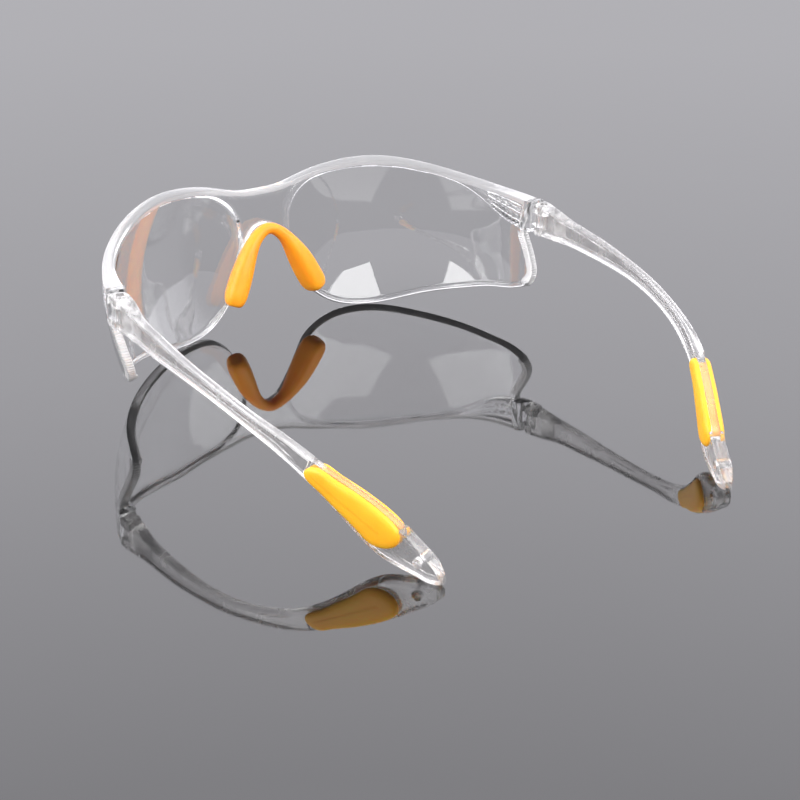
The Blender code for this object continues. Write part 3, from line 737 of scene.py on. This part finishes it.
def soft_rubber(name, colour, deep):
    """Soft orange rubber with a satin skin."""
    m = Nodes(name)
    fine = m.noise(2600.0, 3.0, 0.65)
    cloud = m.noise(120.0, 3.0)
    tone = m.add("ShaderNodeMix", {"Factor": m.spread(cloud, 0.0, 1.0, 0.3, 0.7), "A": (*deep, 1.0),
                                   "B": (*colour, 1.0)}, data_type="RGBA").outputs["Result"]
    rough = m.spread(fine, 0.34, 0.46, 0.35, 0.65)
    normal = m.bump(cloud, 0.0003, 0.15)
    normal = m.bump(fine, 0.00003, 0.35, normal)
    body = m.add("ShaderNodeBsdfPrincipled", {"Base Color": tone, "Roughness": rough, "Normal": normal,
                                              "Subsurface Weight": 0.5, "Subsurface Scale": 0.0035,
                                              "Subsurface Radius": (1.0, 0.3, 0.06),
                                              "Specular IOR Level": 0.45}).outputs["BSDF"]
    m.add("ShaderNodeOutputMaterial", {"Surface": body})
    return m.material


def floor_material():
    """A polished table top: the pale studio shows in it, more so at a flat angle."""
    m = Nodes("pale_table")
    cloud = m.noise(6.0, 3.0)
    tone = m.add("ShaderNodeMix", {"Factor": m.spread(cloud, 0.0, 1.0, 0.3, 0.7),
                                   "A": (0.003, 0.003, 0.0033, 1.0),
                                   "B": (0.004, 0.004, 0.0043, 1.0)}, data_type="RGBA").outputs["Result"]
    normal = m.bump(m.noise(25.0, 2.0), 0.0004, 0.1)
    body = m.add("ShaderNodeBsdfDiffuse", {"Color": tone}).outputs["BSDF"]
    gloss = m.add("ShaderNodeBsdfGlossy", {"Color": (1.0, 1.0, 1.0, 1.0), "Roughness": 0.03,
                                           "Normal": normal}).outputs["BSDF"]
    facing = m.add("ShaderNodeLayerWeight", {"Blend": 0.5}).outputs["Facing"]
    shine = m.spread(facing, 0.065, 0.25)
    mixed = m.add("ShaderNodeMixShader", {0: shine, 1: body, 2: gloss}).outputs["Shader"]
    m.add("ShaderNodeOutputMaterial", {"Surface": mixed})
    return m.material


# ---------------------------------------------------------------- assembly

lens_clear = (clear_plastic("clear_lens", (1.0, 1.0, 1.0), 0.01, 0.12),
              clear_plastic("clear_rim", (0.99, 0.99, 0.995), 0.03, 0.2, 0.88, 0.03),
              clear_plastic("clear_edge", (0.985, 0.97, 0.97), 0.16, 0.3, 0.85, 0.24),
              clear_plastic("clear_ribbed", (0.985, 0.96, 0.95), 0.12, 0.3, 0.85, 0.34, 0.13))
arm_clear = clear_plastic("clear_temple", (0.80, 0.788, 0.782), 0.22, 0.3, 0.8, 0.03)
orange = soft_rubber("orange_soft", (1.0, 0.37, 0.012), (0.97, 0.31, 0.008))
yellow = soft_rubber("orange_grip", (1.0, 0.50, 0.02), (0.99, 0.44, 0.014))

front = build_front(lens_clear)
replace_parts(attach(front, "front"), "front_lens")
pad = build_nose_pad(orange)
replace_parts(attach(pad, "front"), "nose_pad")
for word, side in (("right", 1), ("left", -1)):
    temple = build_temple(word + "_temple_clear", side, arm_clear)
    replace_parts(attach(temple, word + "_arm"), word + "_temple")
    grip = build_grip(word + "_grip_soft", side, yellow)
    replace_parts(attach(grip, word + "_arm"), word + "_temple_grip")
    pin = build_pin(word + "_pin_clear", side, arm_clear)
    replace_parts(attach(pin, "front"), word + "_hinge_pin")


# ---------------------------------------------------------------- floor, light, camera

table = mesh_object("table_top", ((-1500, -1500, 0), (1500, -1500, 0), (1500, 1500, 0), (-1500, 1500, 0)),
                    ((0, 1, 2, 3),), floor_material())


def softbox(name, azimuth, elevation, distance, width, height, strength):
    """An area light that faces the object from a direction given as on a map seen from above."""
    a, e = math.radians(azimuth), math.radians(elevation)
    aim = Vector((0.0, 40.0 * MM, 15.0 * MM))
    away = Vector((math.sin(a) * math.cos(e), math.cos(a) * math.cos(e), math.sin(e)))
    lamp = bpy.data.lights.new(name, "AREA")
    lamp.shape = "RECTANGLE"
    lamp.size = width
    lamp.size_y = height
    lamp.energy = strength * width * height * math.pi
    made = bpy.data.objects.new(name, lamp)
    bpy.context.scene.collection.objects.link(made)
    made.location = aim + away * distance
    made.rotation_euler = (-away).to_track_quat("-Z", "Y").to_euler()
    return made


softbox("softbox_left", -87.0, 34.0, 1.3, 1.35, 0.85, 4.6)
softbox("softbox_right", 164.0, 38.0, 1.3, 1.45, 0.85, 4.6)


def studio_world():
    """A bright pale studio ahead of the glasses, dimmer behind them."""
    world = bpy.data.worlds.new("studio")
    world.use_nodes = True
    tree = world.node_tree
    tree.nodes.clear()

    def add(kind, values=None, **settings):
        node = tree.nodes.new(kind)
        for key, value in settings.items():
            setattr(node, key, value)
        for key, value in (values or {}).items():
            if isinstance(value, bpy.types.NodeSocket):
                tree.links.new(value, node.inputs[key])
            else:
                node.inputs[key].default_value = value
        return node

    way = add("ShaderNodeTexCoord").outputs["Generated"]
    ahead = add("ShaderNodeVectorMath", {0: way, 1: (0.55, 0.83, 0.0)},
                operation="DOT_PRODUCT").outputs["Value"]
    side = add("ShaderNodeMapRange", {"Value": ahead, "From Min": -0.45, "From Max": 0.35, "To Min": BACK_LIGHT,
                                      "To Max": 1.0}, interpolation_type="SMOOTHSTEP").outputs["Result"]
    rise = add("ShaderNodeSeparateXYZ", {"Vector": way}).outputs["Z"]
    ramp_node = add("ShaderNodeValToRGB", {"Fac": rise})
    stops = ramp_node.color_ramp.elements
    stops[0].position, stops[0].color = SKY[0][0], (*[SKY[0][1]] * 3, 1.0)
    stops[1].position, stops[1].color = SKY[-1][0], (*[SKY[-1][1]] * 3, 1.0)
    for place, level in SKY[1:-1]:
        stops.new(place).color = (level, level, level, 1.0)
    level = add("ShaderNodeMath", {0: ramp_node.outputs["Color"], 1: side},
                operation="MULTIPLY").outputs["Value"]
    light = add("ShaderNodeBackground", {"Color": (0.985, 0.975, 1.03, 1.0), "Strength":
                add("ShaderNodeMath", {0: level, 1: SKY_STRENGTH}, operation="MULTIPLY").outputs["Value"]})
    add("ShaderNodeOutputWorld", {"Surface": light.outputs["Background"]})
    return world


bpy.context.scene.world = studio_world()

yaw, pitch, roll = (math.radians(v) for v in (CAMERA_YAW, CAMERA_PITCH, CAMERA_ROLL))
view = Vector((math.sin(yaw) * math.cos(pitch), math.cos(yaw) * math.cos(pitch), -math.sin(pitch)))
right = view.cross(Vector((0, 0, 1))).normalized()
up = right.cross(view)
turned_right = right * math.cos(roll) - up * math.sin(roll)
turned_up = right * math.sin(roll) + up * math.cos(roll)
lens = bpy.data.cameras.new("camera")
lens.lens = CAMERA_LENS
lens.sensor_width = 36.0
lens.clip_end = 20.0
camera = bpy.data.objects.new("camera", lens)
bpy.context.scene.collection.objects.link(camera)
at = Vector((CAMERA_AT[0], CAMERA_AT[1] + SHIFT_Y, CAMERA_AT[2])) * MM
camera.matrix_world = Matrix((
    (turned_right.x, turned_up.x, -view.x, at.x),
    (turned_right.y, turned_up.y, -view.y, at.y),
    (turned_right.z, turned_up.z, -view.z, at.z),
    (0.0, 0.0, 0.0, 1.0)))
bpy.context.scene.camera = camera
bpy.context.scene.view_settings.view_transform = "Standard"
